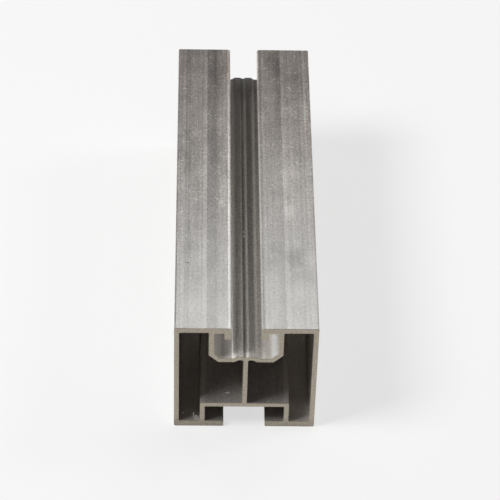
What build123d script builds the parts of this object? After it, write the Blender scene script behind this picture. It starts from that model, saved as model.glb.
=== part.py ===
from build123d import *

import os
from math import atan2, sqrt, tan

# A mounting rail for solar panels: one length of extruded aluminium, sawn square at both ends.
# Its box holds two closed chambers with a web between them. Above the web a channel for M8 bolts
# opens upwards, with hooked lips and a ridged, grooved floor, and below it a shallow channel for
# the foot bolts opens downwards. X runs across the rail, Y along it and Z up, and the origin is
# the middle of the underside. Every size is in millimetres.

# Overall size
rail_length = 120.0
rail_width = 40.0
rail_height = 40.0

# Outer walls, and the web between the two chambers
side_wall = 1.4
top_flange = 1.8
centre_web = 1.3

# Bolt channel in the top face
slot_width = 8.2
lip_thickness = 2.0
lip_depth = 4.4
lip_flange = 2.1
channel_width = 17.8
channel_depth = 12.0
channel_wall = 1.5
channel_floor = 1.4
channel_chamfer = 1.9

# Two ridges on the channel floor, as distances from the middle, and the drill groove between them
ridge_foot = 3.5
ridge_shoulder = 2.5
ridge_inner = 0.9
ridge_height = 0.75
groove_depth = 0.45

# Channel for the foot bolts in the underside
foot_slot_width = 11.8
foot_channel_width = 22.5
foot_channel_height = 6.0
foot_flange = 2.2
foot_deck = 1.5
foot_leg = 1.4

# Corner radii of the die
outer_radius = 0.5
slot_edge_radius = 0.8
corner_radius = 0.3
ridge_radius = 0.5
web_root_radius = 0.65

# Levels above the underside
lip_level = rail_height - lip_depth
lip_ceiling = rail_height - lip_flange
chamber_ceiling = rail_height - top_flange
floor_level = rail_height - channel_depth
floor_underside = floor_level - channel_floor
crest_level = floor_level + ridge_height
groove_level = crest_level - groove_depth
deck_underside = foot_flange + foot_channel_height
deck_level = deck_underside + foot_deck

# Distances from the middle
slot_side = slot_width / 2
lip_side = slot_side + lip_thickness
channel_side = channel_width / 2
chamfer_start = channel_side - channel_chamfer
foot_slot_side = foot_slot_width / 2
foot_channel_side = foot_channel_width / 2

# The floor keeps its thickness under the ridges, so its underside folds nearer to the middle
ridge_ceiling = floor_underside + ridge_height
ridge_fold = channel_floor * tan(atan2(ridge_height, ridge_foot - ridge_shoulder) / 2)

# The slanted corner of the channel keeps the thickness of the channel wall
slant_run = channel_wall * sqrt(2)
slant_start = chamfer_start + slant_run - channel_floor
slant_end = floor_level + channel_chamfer - slant_run + channel_wall

# Each list runs round the right half of the section. A corner is its distance from the middle,
# its height and its radius.
bolt_channel_corners = [
    (ridge_inner, crest_level, ridge_radius),
    (ridge_shoulder, crest_level, ridge_radius),
    (ridge_foot, floor_level, ridge_radius),
    (chamfer_start, floor_level, corner_radius),
    (channel_side, floor_level + channel_chamfer, corner_radius),
    (channel_side, lip_ceiling, corner_radius),
    (lip_side, lip_ceiling, corner_radius),
    (lip_side, lip_level, corner_radius),
    (slot_side, lip_level, corner_radius),
    (slot_side, rail_height, slot_edge_radius),
]
side_corners = [
    (rail_width / 2, rail_height, outer_radius),
    (rail_width / 2, 0, outer_radius),
]
foot_channel_corners = [
    (foot_slot_side, 0, corner_radius),
    (foot_slot_side, foot_flange, corner_radius),
    (foot_channel_side, foot_flange, corner_radius),
    (foot_channel_side, deck_underside, corner_radius),
]
chamber_corners = [
    (centre_web / 2, ridge_ceiling, web_root_radius),
    (ridge_shoulder - ridge_fold, ridge_ceiling, corner_radius),
    (ridge_foot - ridge_fold, floor_underside, corner_radius),
    (slant_start, floor_underside, corner_radius),
    (channel_side + channel_wall, slant_end, corner_radius),
    (channel_side + channel_wall, chamber_ceiling, corner_radius),
    (rail_width / 2 - side_wall, chamber_ceiling, corner_radius),
    (rail_width / 2 - side_wall, foot_flange, corner_radius),
    (foot_channel_side + foot_leg, foot_flange, corner_radius),
    (foot_channel_side + foot_leg, deck_level, corner_radius),
    (centre_web / 2, deck_level, corner_radius),
]


def points_of(corners, side=1):
    return [(side * x, z) for x, z, _ in corners]


def radii_of(corners):
    return [radius for _, _, radius in corners]


with BuildPart() as mounting_rail:
    with BuildSketch(Plane.XZ):
        # The outside with both channels: its right half, from the drill groove round to the
        # middle of the deck's underside, and the mirror image
        outside_corners = bolt_channel_corners + side_corners + foot_channel_corners
        with BuildLine():
            FilletPolyline(
                (0, groove_level),
                *points_of(outside_corners),
                (0, deck_underside),
                radius=radii_of(outside_corners),
            )
            mirror(about=Plane.YZ)
        make_face()

        # The two chambers, left and right of the web
        for side in (-1, 1):
            with BuildLine():
                FilletPolyline(
                    *points_of(chamber_corners, side),
                    radius=radii_of(chamber_corners),
                    close=True,
                )
            make_face(mode=Mode.SUBTRACT)
    extrude(amount=rail_length / 2, both=True)

mounting_rail.part.label = "mounting_rail"
os.makedirs("parts", exist_ok=True)
export_step(mounting_rail.part, "parts/mounting_rail.step")
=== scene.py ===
from cmath import phase, rect
from math import ceil, cos, pi, radians, sin

import bpy
from mathutils import Matrix, Vector
from mathutils.geometry import delaunay_2d_cdt


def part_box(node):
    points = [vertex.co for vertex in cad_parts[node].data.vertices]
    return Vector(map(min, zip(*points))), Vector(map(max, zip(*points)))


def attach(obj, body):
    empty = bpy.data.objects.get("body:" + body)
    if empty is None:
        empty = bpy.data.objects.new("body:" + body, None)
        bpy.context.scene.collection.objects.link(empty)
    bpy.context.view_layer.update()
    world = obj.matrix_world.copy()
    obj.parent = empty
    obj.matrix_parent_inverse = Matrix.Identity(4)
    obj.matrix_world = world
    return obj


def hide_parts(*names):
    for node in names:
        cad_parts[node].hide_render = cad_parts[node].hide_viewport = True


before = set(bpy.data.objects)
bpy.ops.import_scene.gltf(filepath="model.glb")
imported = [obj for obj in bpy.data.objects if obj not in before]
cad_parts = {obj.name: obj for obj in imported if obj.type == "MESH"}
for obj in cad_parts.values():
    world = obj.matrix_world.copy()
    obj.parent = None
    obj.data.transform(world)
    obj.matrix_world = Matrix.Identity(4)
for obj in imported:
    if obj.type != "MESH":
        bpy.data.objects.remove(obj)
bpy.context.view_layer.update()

# The rail is one length of aluminium, pressed hot through a steel die, which gives it one section
# all along and draws fine lines in its faces. It is sawn square at both ends. Its section is read
# from the frame, as complex numbers x + z*1j, and drawn again with true arcs and die lines.
rail_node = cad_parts["mounting_rail"]
low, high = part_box("mounting_rail")
mm = 0.001

# A side shorter than the first size is a chord of a fillet. The next ones space the points round the
# fillets, across the top face, along the other faces of the section, and from row to row.
shortest_side = 0.45 * mm
arc_step = radians(11)
top_spacing = 0.12 * mm
wall_spacing = 0.8 * mm
row_spacing = 3 * mm
edge_break = 0.09 * mm

# Lines that the die drew in the top face, in millimetres: place from the middle, half width, depth,
# and how much lighter or darker the metal is there
die_lines = [
    (-19.3, 0.45, 0.002, 0.04), (-18.0, 0.55, 0.004, 0.07), (-17.2, 0.30, 0.012, -0.06),
    (-16.4, 0.30, 0.010, -0.07), (-15.3, 0.45, 0.004, 0.03), (-14.4, 0.30, 0.005, 0.03),
    (-13.0, 0.30, 0.006, 0.04),
    (-8.6, 0.35, 0.006, -0.05), (-7.2, 0.30, 0.005, 0.02), (-5.7, 0.40, 0.004, 0.04),
    (5.7, 0.35, 0.004, 0.05), (6.5, 0.30, 0.006, -0.03), (7.9, 0.25, 0.009, -0.05),
    (9.1, 0.30, 0.005, -0.02), (13.8, 0.35, 0.006, 0.05), (16.2, 0.40, 0.007, -0.05),
    (17.0, 0.28, 0.014, 0.05), (18.3, 0.45, 0.006, 0.10), (19.2, 0.45, 0.003, 0.05),
]


def sawn_outline(piece, end):
    """The loops of points round the piece's section, where it is sawn at y = end."""
    mesh = piece.data
    mesh.calc_loop_triangles()
    rim = {}
    for triangle in mesh.loop_triangles:
        places = [mesh.vertices[i].co for i in triangle.vertices]
        if max(abs(place.y - end) for place in places) < edge_break:
            corners = [complex(round(place.x, 7), round(place.z, 7)) for place in places]
            for a, b in zip(corners, corners[1:] + corners[:1]):
                # An edge inside the section is met twice, run in opposite ways
                if (b, a) in rim:
                    del rim[(b, a)]
                else:
                    rim[(a, b)] = True
    following = dict(rim.keys())
    loops = []
    while following:
        start, point = following.popitem()
        loop = [start]
        while point != start:
            loop.append(point)
            point = following.pop(point)
        loops.append(loop)
    return sorted(loops, key=len, reverse=True)


def die_depth(x):
    """How deep the die's lines cut the top face at this distance from the middle."""
    depth = 0
    for place, half_width, deepest, _ in die_lines:
        reach = max(0, 1 - abs(x / mm - place) / half_width)
        depth += deepest * mm * reach * reach * (3 - 2 * reach)
    return depth


def drawn_loop(loop):
    """The loop with its sides cut into short spans, its fillets as true arcs and its die lines."""
    ends = zip(loop, loop[1:] + loop[:1])
    sides = [(a, b) for a, b in ends if abs(b - a) > shortest_side]
    points = []
    for (a, b), (c, d) in zip(sides, sides[1:] + sides[:1]):
        on_top = min(a.imag, b.imag) > high.z - edge_break
        spans = ceil(abs(b - a) / (top_spacing if on_top else wall_spacing))
        for i in range(spans):
            point = a + (b - a) * i / spans
            points.append(point - die_depth(point.real) * 1j if on_top else point)
        # Between two sides lies a fillet, or nothing where they meet in a sharp corner
        turn = phase((d - c) / (b - a))
        if abs(c - b) > edge_break / 10:
            steps = ceil(abs(turn) / arc_step)
            stride = abs(c - b) * sin(turn / 2 / steps) / sin(turn / 2)
            heading = (b - a) / abs(b - a)
            point = b
            for i in range(steps):
                points.append(point)
                point += stride * heading * rect(1, turn * (i + 0.5) / steps)
    return points


def outward(loop):
    """The direction out of the metal at each point of a loop, which has the metal on its left."""
    ways = [after - before for before, after in zip(loop[-1:] + loop[:-1], loop[1:] + loop[:1])]
    return [-1j * way / abs(way) for way in ways]


loops = [drawn_loop(loop) for loop in sawn_outline(rail_node, low.y)]
outline = [point for loop in loops for point in loop]
normals = [normal for loop in loops for normal in outward(loop)]

# Which point comes after each one on its loop, and which one that loop starts with
after = []
owner = []
for loop in loops:
    first = len(after)
    after += [first + (i + 1) % len(loop) for i in range(len(loop))]
    owner += [first] * len(loop)

# Rows of points along the rail, with the sharp edge of each sawn end broken by a small chamfer
length = high.y - low.y
spans = round(length / row_spacing)
inner_rows = [low.y + edge_break + (length - 2 * edge_break) * i / spans for i in range(spans + 1)]
rows = [(low.y, edge_break)] + [(y, 0) for y in inner_rows] + [(high.y, edge_break)]

vertices = []
for y, inset in rows:
    for point, normal in zip(outline, normals):
        place = point - inset * normal
        vertices.append((place.real, y, place.imag))

count = len(outline)
faces = []
for row in range(len(rows) - 1):
    for i in range(count):
        a, b = row * count + i, row * count + after[i]
        faces.append((a, a + count, b + count, b))
drawn_faces = range(count, len(faces) - count)

# The sawn ends are filled with triangles. One that has its corners on a single loop, and runs round
# it the wrong way, lies in a chamber and is left out.
far_row = (len(rows) - 1) * count
corners = [Vector((point.real, point.imag)) / mm for point in outline]
all_inside = 1
closeness = 0.00001
filled = delaunay_2d_cdt(corners, list(enumerate(after)), [], all_inside, closeness)
_, _, triangles, origins, _, _ = filled
for triangle in triangles:
    a, b, c = [origins[i][0] for i in triangle]
    backwards = (a > b) + (b > c) + (c > a) == 2
    if not (owner[a] == owner[b] == owner[c] and backwards):
        faces.append((a, b, c))
        faces.append((far_row + a, far_row + c, far_row + b))

rail_mesh = bpy.data.meshes.new("mounting_rail_drawn")
rail_mesh.from_pydata(vertices, [], faces)
rail_mesh.shade_smooth()
rail_mesh.set_sharp_from_angle(angle=radians(30))
rail = bpy.data.objects.new("mounting_rail_drawn", rail_mesh)
bpy.context.scene.collection.objects.link(rail)


class Tone:
    """A number, colour or place in a finish's shading, so that it is worked out as a formula."""

    def __init__(self, tree, socket=None):
        self.tree = tree
        self.socket = socket

    def node(self, kind, settings, inputs, output=0):
        """Adds a node, sets it up, fills its inputs and returns one of its outputs."""
        made = self.tree.nodes.new(kind)
        for name, value in settings.items():
            setattr(made, name, value)
        for name, value in inputs.items():
            if isinstance(value, Tone):
                self.tree.links.new(value.socket, made.inputs[name])
            else:
                made.inputs[name].default_value = value
        return Tone(self.tree, made.outputs[output] if made.outputs else None)

    def math(self, operation, *values):
        """Maths on numbers."""
        return self.node("ShaderNodeMath", {"operation": operation}, dict(enumerate(values)))

    def vector(self, operation, *values, output=0):
        """Maths on places and directions."""
        inputs = dict(enumerate(values))
        return self.node("ShaderNodeVectorMath", {"operation": operation}, inputs, output)

    def mix(self, share, first, second, way="MIX"):
        """Mixes two colours, with this share of the second, or multiplies them."""
        settings = {"data_type": "RGBA", "blend_type": way}
        return self.node("ShaderNodeMix", settings, {0: share, 6: first, 7: second}, 2)

    def __add__(self, other):
        return self.math("ADD", self, other)

    def __sub__(self, other):
        return self.math("SUBTRACT", self, other)

    def __rsub__(self, other):
        return self.math("SUBTRACT", other, self)

    def __mul__(self, other):
        return self.math("MULTIPLY", self, other)

    def __abs__(self):
        return self.math("ABSOLUTE", self)

    __radd__ = __add__
    __rmul__ = __mul__

    def place(self):
        """The place on the piece, in millimetres."""
        return self.node("ShaderNodeTexCoord", {}, {}, "Object").stretched(1 / mm, 1 / mm, 1 / mm)

    def parts(self):
        """The three coordinates of a place."""
        split = self.node("ShaderNodeSeparateXYZ", {}, {0: self})
        return [Tone(self.tree, socket) for socket in split.socket.node.outputs]

    def stretched(self, across, along, up):
        """A place with its coordinates multiplied, so that a pattern on it is as fine as they say."""
        return self.vector("MULTIPLY", self, (across, along, up))

    def cloud(self, across, along, detail=2.0, roughness=0.5):
        """Soft random shade from about -1 to 1, with so many patches to the millimetre."""
        spot = self.stretched(across, along, across)
        shade = self.node("ShaderNodeTexNoise", {}, {
            "Vector": spot, "Scale": 1.0, "Detail": detail, "Roughness": roughness,
        })
        return (shade - 0.5) * 4

    def rise(self, start, end, low=0.0, high=1.0):
        """Goes smoothly from low to high as the number goes from start to end."""
        return self.node("ShaderNodeMapRange", {"interpolation_type": "SMOOTHSTEP"}, {
            "Value": self, "From Min": start, "From Max": end, "To Min": low, "To Max": high,
        })

    def near(self, middle, reach):
        """One at the middle, falling smoothly to nothing at this reach on both sides."""
        return abs(self - middle).rise(reach, 0)

    def stroke(self, start, end, reach):
        """One along a line on the top face, falling smoothly to nothing at this reach from it."""
        base = Vector((*start, high.z / mm))
        run = Vector((*end, high.z / mm)) - base
        gone = self.vector("SUBTRACT", self, base)
        share = self.vector("DOT_PRODUCT", gone, run / run.length_squared, output="Value")
        share = self.math("MINIMUM", self.math("MAXIMUM", share, 0.0), 1.0)
        nearest = self.vector("MULTIPLY", run, share)
        return self.vector("DISTANCE", gone, nearest, output="Value").rise(reach, 0)


def new_finish(name):
    """An empty material, and the Tone that its shading starts from."""
    material = bpy.data.materials.new(name)
    material.use_nodes = True
    material.node_tree.nodes.clear()
    return material, Tone(material.node_tree)


# Marks on the top face, in millimetres from the middle of the rail. A scratch runs from one place to
# another, and has a half width and a lightness. A stain has a middle, two reaches and a lightness.
scratches = [
    ((-19.2, 41.4), (-13.6, 41.0), 0.24, 0.24), ((-20.0, 8.7), (-17.6, 8.4), 0.20, 0.30),
    ((5.6, 43.8), (7.6, 43.4), 0.22, 0.16), ((-8.3, -7.6), (-5.6, -10.6), 0.24, 0.42),
    ((-8.0, -10.0), (-5.9, -8.3), 0.22, 0.40), ((-6.9, -7.2), (-6.7, -11.0), 0.20, 0.32),
    ((-5.8, 2.6), (-5.5, 0.2), 0.28, 0.26), ((12.2, 33.0), (14.8, 29.6), 0.28, 0.26),
    ((13.4, 33.2), (16.0, 30.2), 0.24, 0.26), ((15.0, 28.4), (17.2, 27.8), 0.30, 0.34),
    ((14.6, 35.6), (15.2, 33.4), 0.22, 0.22), ((16.4, 33.8), (18.9, 33.2), 0.28, 0.22),
    ((5.4, -17.6), (15.8, -18.4), 0.40, 0.08), ((5.6, -19.6), (12.4, -19.2), 0.36, 0.08),
    ((13.0, -54.4), (17.4, -51.6), 0.32, 0.10), ((-17.0, -34.0), (-16.2, -34.4), 0.24, -0.60),
    ((-19.8, -53.6), (-19.2, -54.6), 0.24, -0.24), ((-11.6, 27.2), (-9.4, 24.2), 0.22, 0.16),
]
stains = [
    (12.4, 0.0, 10.0, 34.0, 0.12), (18.3, 31.0, 1.3, 7.0, 0.20), (12.8, -12.5, 2.4, 5.0, 0.13),
    (13.8, -32.0, 3.0, 5.5, -0.12), (8.0, -30.0, 2.6, 6.0, -0.09), (8.0, -44.0, 3.4, 8.0, 0.08),
    (-8.6, 50.0, 2.8, 9.0, -0.12), (9.2, 53.0, 3.6, 7.0, -0.11), (14.5, 46.0, 3.2, 7.0, -0.07),
    (-6.3, -3.0, 1.5, 8.0, 0.13), (-14.6, -50.0, 4.4, 9.0, 0.08), (-15.6, 14.0, 3.2, 11.0, -0.06),
    (-9.4, 12.0, 2.2, 16.0, -0.04), (15.6, -46.0, 3.0, 7.0, 0.06),
]


def mill_finish():
    """Aluminium as it leaves the die: matt, streaked along the rail, and scuffed by handling."""
    material, tone = new_finish("mill_finish")
    place = tone.place()
    x, y, z = place.parts()

    # Masks of the top face, the inside of the section, the bolt channel and the outer sides
    side = abs(x)
    top = z.rise(high.z / mm - 0.3, high.z / mm - 0.1)
    inner = side.rise(high.x / mm - 0.4, high.x / mm - 0.7) * z.rise(0.8, 1.4) * z.rise(39.1, 38.7)
    channel = inner * side.rise(9.8, 9.4) * z.rise(27.1, 27.5)
    flank = side.rise(high.x / mm - 0.3, high.x / mm - 0.1) * (1 - top)

    # Streaks of four widths all along the rail, short dashes, clouds of oxide and a fine grain. All
    # of them are stronger in the rail's far half.
    stained = y.rise(-55, 15, 0.9, 1.8)
    hairs = place.cloud(8.0, 0.08, 2)
    threads = place.cloud(3.0, 0.06, 3)
    streaks = place.cloud(1.1, 0.012, 2)
    bands = place.cloud(0.3, 0.006, 1)
    patches = place.cloud(0.22, 0.14, 4, 0.6)
    grain = place.cloud(1.5, 1.1, 3, 0.8)
    grit = place.cloud(2.2, 2.0, 2, 0.7)
    dashes = place.cloud(3.6, 0.45, 2, 0.7)
    tones = 0.03 * hairs + 0.065 * threads + 0.035 * streaks + 0.02 * bands + 0.05 * dashes
    blotches = 0.11 * patches + 0.19 * grain + 0.12 * grit
    tones = tones * (1 + 0.5 * flank) + blotches * (1 - 0.7 * flank)
    # Inside the rail the metal is painted lighter, in patches that follow the grain
    tones = tones + inner * (0.06 - 0.06 * grain)

    # The metal over each wall of the bolt channel cooled last, and is darker with a light rim
    ghost = (1.05 * x.rise(-6.8, -9.4) + 0.9 * x.rise(8.4, 10.2)) * side.rise(11.15, 11.05)
    rim = side.rise(11.05, 11.15) * side.rise(12.5, 11.9) * x.rise(-1, 1, 1.3, 0.9)
    lines = 0.09 * rim - 0.11 * ghost
    for middle, half_width, _, lightness in die_lines:
        lines = lines + 1.3 * lightness * x.near(middle, 1.4 * half_width)

    # Whitish specks of oxide, thicker where the patches are light
    cells = {"Vector": place.stretched(1.5, 1.1, 1.5), "Scale": 1.0}
    spread = tone.node("ShaderNodeTexVoronoi", {}, cells, "Distance")
    chance = tone.node("ShaderNodeTexVoronoi", {}, cells, "Color").parts()[0]
    specks = (spread + 0.08 * grain).rise(0.30, 0.12) * (chance + 0.4 * patches).rise(0.76, 0.84)
    frost = place.cloud(0.9, 0.7, 4, 0.8).rise(0.25, 1.1) * patches.rise(-0.8, 0.8, 0.3, 1.7)

    # The scratches look broken where the grain is dark, and the stains have uneven borders
    marks = (0.65 * specks + 0.26 * frost) * stained * y.rise(-50, 5, 0.3, 1.0) - 0.03
    for start, end, half_width, lightness in scratches:
        stroke = place.stroke(start, end, half_width)
        marks = marks + 1.2 * lightness * stroke * (1 + 0.6 * grain)
    for middle_x, middle_y, reach_x, reach_y, lightness in stains:
        gone = tone.vector("SUBTRACT", place, (middle_x, middle_y, 0))
        gap = tone.vector("LENGTH", gone.stretched(1 / reach_x, 1 / reach_y, 0), output="Value")
        marks = marks + 1.35 * lightness * (gap + 0.3 * patches).rise(1.0, 0.3)

    # Both edges of the slot carry a painted highlight, and are less metallic there. A dark line runs
    # beside the right one, and the top is darker towards the far end.
    left_edge = x.rise(-5.25, -4.85) * x.rise(-4.1, -4.4)
    right_edge = x.rise(4.8, 4.45) * x.rise(3.9, 4.0)
    edge_highlight = (1.15 * left_edge + 0.55 * right_edge) * z.rise(39.1, 39.5) * y.rise(52, -8, 0.4, 1.0)
    dark_line_and_far_darkening = 0.15 * x.near(5.0, 0.5) + 0.10 * y.rise(25, 60)

    # On the floor of the bolt channel, painted shade darkens the crests of its ridges, the groove
    # between them and the corner beside the right one, and most of all the far end. The ridges' slopes
    # carry a painted highlight, and the near end by the open front is painted lighter. A grit mottles
    # it.
    slot_floor = channel * side.rise(6.2, 4.6) * z.rise(29.5, 29.2)
    crests = side.rise(0.7, 1.0) * side.rise(2.8, 2.4)
    slopes = slot_floor * (x.near(-3.3, 0.9) + 0.9 * x.near(0.5, 0.5)) * y.rise(58, -20, 0.35, 1.0)
    slot_painted_shading_and_grit = 0.30 * slopes - crests * y.rise(58, -20, 0.08, 0.24) - 0.05
    slot_painted_shading_and_grit = slot_painted_shading_and_grit + grit * y.rise(50, -50, 0.04, 0.18)
    slot_painted_shading_and_grit = slot_painted_shading_and_grit - x.near(-0.42, 0.6) * y.rise(58, -20, 0.25, 0.62)
    slot_painted_shading_and_grit = slot_painted_shading_and_grit - 0.24 * x.rise(3.1, 3.6) * x.rise(4.9, 4.3) - 0.14 * x.near(2.8, 0.6)
    slot_painted_shading_and_grit = slot_painted_shading_and_grit - 0.48 * y.rise(-40, 62) + 0.2 * y.rise(-52, -59)

    # Painted shade darkens the foot bolts' channel in the underside and, a little more on the right
    # and mottled by the grain, the deck over it. The floor of the left chamber is painted darker and
    # that of the right one painted lighter.
    foot_channel = inner * side.rise(11.6, 11.3) * z.rise(8.8, 8.4)
    deck = inner * side.rise(11.2, 11.0) * z.rise(9.3, 9.5) * z.rise(10.4, 10.0)
    pockets = inner * side.rise(12.5, 12.7) * z.rise(3.5, 2.5)

    # What lightens or darkens the metal, all together. In the bolt channel a grit mottles the metal,
    # painted shade darkens the corner under the right lip, and more of it the left side under the left
    # lip.
    shade = (1 + stained * tones * (1 - 0.6 * channel)) * (1 + top * (stained * lines + marks - dark_line_and_far_darkening))
    shade = shade * (1 + 0.5 * edge_highlight) * (1 + slot_floor * slot_painted_shading_and_grit) * (1 - 0.28 * foot_channel)
    shade = shade * (1 + channel * (0.1 * grit - 0.1 * x.near(6.0, 1.6)))
    shade = shade * (1 - channel * x.rise(-4.2, -5.4, 0, 0.27))
    shade = shade * (1 - deck * (x.rise(-1, 1, 0.2, 0.25) - 0.12 * grain))
    shade = shade * (1 - pockets * x.rise(-1, 1, 0.12, -0.15))

    # The metal is warmer in colour towards the far end, but for its specks and frost. Inside the rail
    # it is painted lighter, more so in the bolt channel, and the channel's right slanted corner
    # carries a painted highlight.
    warmth = y.rise(-60, 70) * (1.1 - 0.9 * specks - 0.6 * frost - 0.4 * grain)
    metal = tone.mix(warmth, (0.66, 0.648, 0.626, 1), (0.64, 0.578, 0.537, 1))
    metal = tone.mix(inner, metal, (0.74, 0.70, 0.66, 1))
    metal = tone.mix(channel, metal, (0.81, 0.77, 0.725, 1))
    metal = tone.mix(channel * x.rise(7.1, 7.6), metal, (0.94, 0.94, 0.92, 1))
    metal = tone.mix(1.0, metal, shade, "MULTIPLY")
    metallic = 0.78 - 0.12 * inner - 0.26 * channel - 0.6 * edge_highlight - 0.35 * slopes
    roughness = 0.32 - 0.08 * inner + 0.02 * streaks

    # The die's finest lines can't be seen, but they spread the light across the rail's outside. Half
    # of it mirrors off their left slopes and half off their right ones. On the ridges' slopes, which
    # carry a painted highlight, it all leans to one side.
    grooves = 0.005 * hairs + 0.003 * streaks + 0.003 * grain
    face = tone.node("ShaderNodeNewGeometry", {}, {}, "Normal")
    across = tone.vector("CROSS_PRODUCT", (0, 1, 0), face)
    halves = []
    for lean in (-0.19, 0.19):
        leaned = tone.vector("MULTIPLY_ADD", across, lean * (1 - inner) + 0.45 * slopes, face)
        slope = tone.vector("NORMALIZE", leaned)
        bump = tone.node("ShaderNodeBump", {}, {
            "Strength": 1.0, "Distance": mm, "Height": grooves, "Normal": slope,
        })
        halves.append(tone.node("ShaderNodeBsdfPrincipled", {}, {
            "Base Color": metal, "Metallic": metallic, "Roughness": roughness, "Normal": bump,
        }))
    finish = tone.node("ShaderNodeMixShader", {}, {0: 0.5, 1: halves[0], 2: halves[1]})
    tone.node("ShaderNodeOutputMaterial", {}, {"Surface": finish})
    return material


def sawn_finish():
    """A sawn end: duller and warmer than the faces, with the arcs that the saw blade left."""
    material, tone = new_finish("sawn_end")
    place = tone.place()
    blade_middle = (-70.0, 0.0, 150.0)
    radius = tone.vector("DISTANCE", place.stretched(1, 0, 1), blade_middle, output="Value")
    across_cut = tone.node("ShaderNodeCombineXYZ", {}, {0: radius})
    arcs = across_cut.cloud(2.2, 1.0, 3)
    mottle = place.cloud(1.5, 1.5, 3, 0.8)

    # Painted shade darkens the feet, the left one most
    x, _, z = place.parts()
    shade = 1 + 0.07 * arcs + 0.34 * mottle - z.rise(4.0, 1.5) * x.rise(-8, 8, 0.24, 0.14)
    metal = tone.mix(1.0, (0.465, 0.414, 0.337, 1), shade, "MULTIPLY")
    relief = 0.01 * arcs + 0.006 * place.cloud(4.0, 4.0, 2)
    bump = tone.node("ShaderNodeBump", {}, {"Strength": 1.0, "Distance": mm, "Height": relief})
    finish = tone.node("ShaderNodeBsdfPrincipled", {}, {
        "Base Color": metal, "Metallic": 0.8, "Roughness": 0.5, "Normal": bump,
    })
    tone.node("ShaderNodeOutputMaterial", {}, {"Surface": finish})
    return material


rail_mesh.materials.append(mill_finish())
rail_mesh.materials.append(sawn_finish())
sawn = 1
for face in rail_mesh.polygons:
    if face.index not in drawn_faces:
        face.material_index = sawn
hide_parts("mounting_rail")
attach(rail, "root")

# A few shavings that the saw left lie loose inside the rail: curled strips of aluminium one or two
# millimetres long, bright where they were cut. Three are in the left chamber, one on the deck
# beside the web and two in the drill groove of the bolt channel.
shaving_thickness = 0.06
shaving_steps = 10

# Place of the shaving, length and width in millimetres, then its curl, turn and tilt in degrees
shavings = [
    ((-14.2, -58.3, 2.21), 2.2, 0.6, 200, 25, 25), ((-13.5, -58.9, 2.21), 1.2, 0.45, 150, -60, -20),
    ((-17.4, -57.1, 2.21), 0.9, 0.4, 150, 60, 15), ((-4.9, -56.1, 9.71), 1.4, 0.5, 60, 95, 8),
    ((-0.2, -9.7, 28.4), 0.9, 0.4, 120, 20, 20), ((-0.2, -11.4, 28.4), 1.1, 0.45, 130, -30, 15),
]


def shaving(place, length, width, curl, turn, tilt):
    """The corners of one curled strip, four to a step along it, with its lowest one at the place."""
    bend = length / radians(curl)
    outside = bend + shaving_thickness
    lean = Matrix.Rotation(radians(turn), 3, "Z") @ Matrix.Rotation(radians(tilt), 3, "Y")
    corners = []
    for step in range(shaving_steps + 1):
        along = step / shaving_steps
        angle = radians(curl) * (along - 0.5)
        half = width / 2 * (1 - 0.5 * along ** 2)
        for side, radius in ((-half, bend), (half, bend), (half, outside), (-half, outside)):
            corners.append(lean @ Vector((side, radius * sin(angle), -radius * cos(angle))))
    middle = sum(corners, Vector()) / len(corners)
    lowest = min(corner.z for corner in corners)
    shift = Vector(place) - Vector((middle.x, middle.y, lowest))
    return [(corner + shift) * mm for corner in corners]


chip_corners = []
chip_faces = []
for values in shavings:
    first = len(chip_corners)
    chip_corners += shaving(*values)
    for a in range(first, len(chip_corners) - 4, 4):
        for b, c in ((0, 1), (1, 2), (2, 3), (3, 0)):
            chip_faces.append((a + b, a + c, a + c + 4, a + b + 4))
    last = len(chip_corners) - 4
    chip_faces += [(first + 3, first + 2, first + 1, first), (last, last + 1, last + 2, last + 3)]
chip_mesh = bpy.data.meshes.new("saw_shavings")
chip_mesh.from_pydata(chip_corners, [], chip_faces)
chips = bpy.data.objects.new("saw_shavings", chip_mesh)
bpy.context.scene.collection.objects.link(chips)

fresh, tone = new_finish("fresh_cut")
tears = tone.place().cloud(5.0, 5.0, 2)
torn = tone.mix(1.0, (0.97, 0.96, 0.95, 1), 0.96 + 0.06 * tears, "MULTIPLY")
finish = tone.node("ShaderNodeBsdfPrincipled", {}, {
    "Base Color": torn, "Metallic": 0.25, "Roughness": 0.17 + 0.05 * tears,
})
tone.node("ShaderNodeOutputMaterial", {}, {"Surface": finish})
chip_mesh.materials.append(fresh)
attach(chips, "root")

# The floor that the rail lies on: a plain pale surface. It looks white, in the metal's mirroring too
# except under the rail, and keeps the rail's soft shadow. The light that it throws back on the rail
# is that of the plain surface.
reach = 4.0
floor_corners = [(-reach, -reach, 0), (reach, -reach, 0), (reach, reach, 0), (-reach, reach, 0)]
floor_mesh = bpy.data.meshes.new("floor")
floor_mesh.from_pydata(floor_corners, [], [(0, 1, 2, 3)])
floor = bpy.data.objects.new("floor", floor_mesh)
bpy.context.scene.collection.objects.link(floor)

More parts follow.
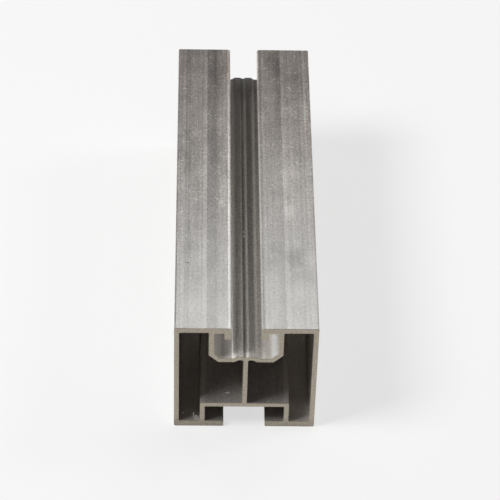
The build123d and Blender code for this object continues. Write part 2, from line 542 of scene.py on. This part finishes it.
pale, tone = new_finish("pale_floor")
surface = tone.node("ShaderNodeBsdfDiffuse", {}, {"Color": (0.9, 0.9, 0.9, 1)})
white = tone.node("ShaderNodeEmission", {}, {"Color": (1, 1, 1, 1), "Strength": 1.0})
x, y, _ = tone.place().parts()
beside = abs(x).rise(high.x / mm - 2, high.x / mm + 2)
beyond = abs(y).rise(high.y / mm - 2, high.y / mm + 2)
open_floor = tone.math("MAXIMUM", beside, beyond)
mirrored = tone.node("ShaderNodeLightPath", {}, {}, "Is Glossy Ray")
mirrored = mirrored + tone.node("ShaderNodeLightPath", {}, {}, "Is Transmission Ray")
seen = tone.node("ShaderNodeLightPath", {}, {}, "Is Camera Ray") + mirrored * open_floor
share = 0.65 * tone.math("MINIMUM", seen, 1.0)
finish = tone.node("ShaderNodeMixShader", {}, {0: share, 1: surface, 2: white})
tone.node("ShaderNodeOutputMaterial", {}, {"Surface": finish})
floor_mesh.materials.append(pale)

# The studio light: a wide key softbox high up on the left, a smaller one on the right, three small
# ones close behind the rail and a little light from all round.
world = bpy.data.worlds.new("studio")
bpy.context.scene.world = world
world.use_nodes = True
world.node_tree.nodes["Background"].inputs["Color"].default_value = (0.015, 0.015, 0.015, 1)
lit_point = Vector((0, 0, 0.03))


def softbox(name, azimuth, elevation, distance, width, light):
    """A square lamp. Its azimuth runs clockwise from the rear, and its light, on a white surface
    that faces it at the rail, makes that surface look so bright."""
    turned, raised = radians(azimuth), radians(elevation)
    way = Vector((sin(turned) * cos(raised), cos(turned) * cos(raised), sin(raised)))
    lamp = bpy.data.lights.new(name, "AREA")
    lamp.shape = "SQUARE"
    lamp.size = width
    lamp.energy = light * (pi * distance) ** 2
    box = bpy.data.objects.new(name, lamp)
    bpy.context.scene.collection.objects.link(box)
    box.location = lit_point + distance * way
    box.rotation_euler = (-way).to_track_quat("-Z", "Y").to_euler()


softbox("key", 255, 50, 1.1, 0.40, 0.80)
softbox("right", 75, 40, 1.1, 0.3, 0.20)
softbox("rear_left", 330, 55, 0.6, 0.2, 0.052)
softbox("rear_middle", 30, 55, 0.6, 0.2, 0.119)
softbox("rear_right", 47, 42, 0.6, 0.2, 0.036)

# The camera looks down along the rail from in front, as the photograph does.
camera_place = Vector((-14.7, -531.9, 528.8)) * mm
camera_aim = Vector((1.16, -28.9, 40)) * mm
camera_roll = radians(1.8)
camera_data = bpy.data.cameras.new("camera")
camera_data.lens = 178.1
camera_data.sensor_width = 36
camera = bpy.data.objects.new("camera", camera_data)
bpy.context.scene.collection.objects.link(camera)
facing = (camera_aim - camera_place).to_track_quat("-Z", "Y").to_matrix().to_4x4()
camera.matrix_world = Matrix.Translation(camera_place) @ facing @ Matrix.Rotation(camera_roll, 4, "Z")
bpy.context.scene.camera = camera
bpy.context.scene.view_settings.view_transform = "Standard"
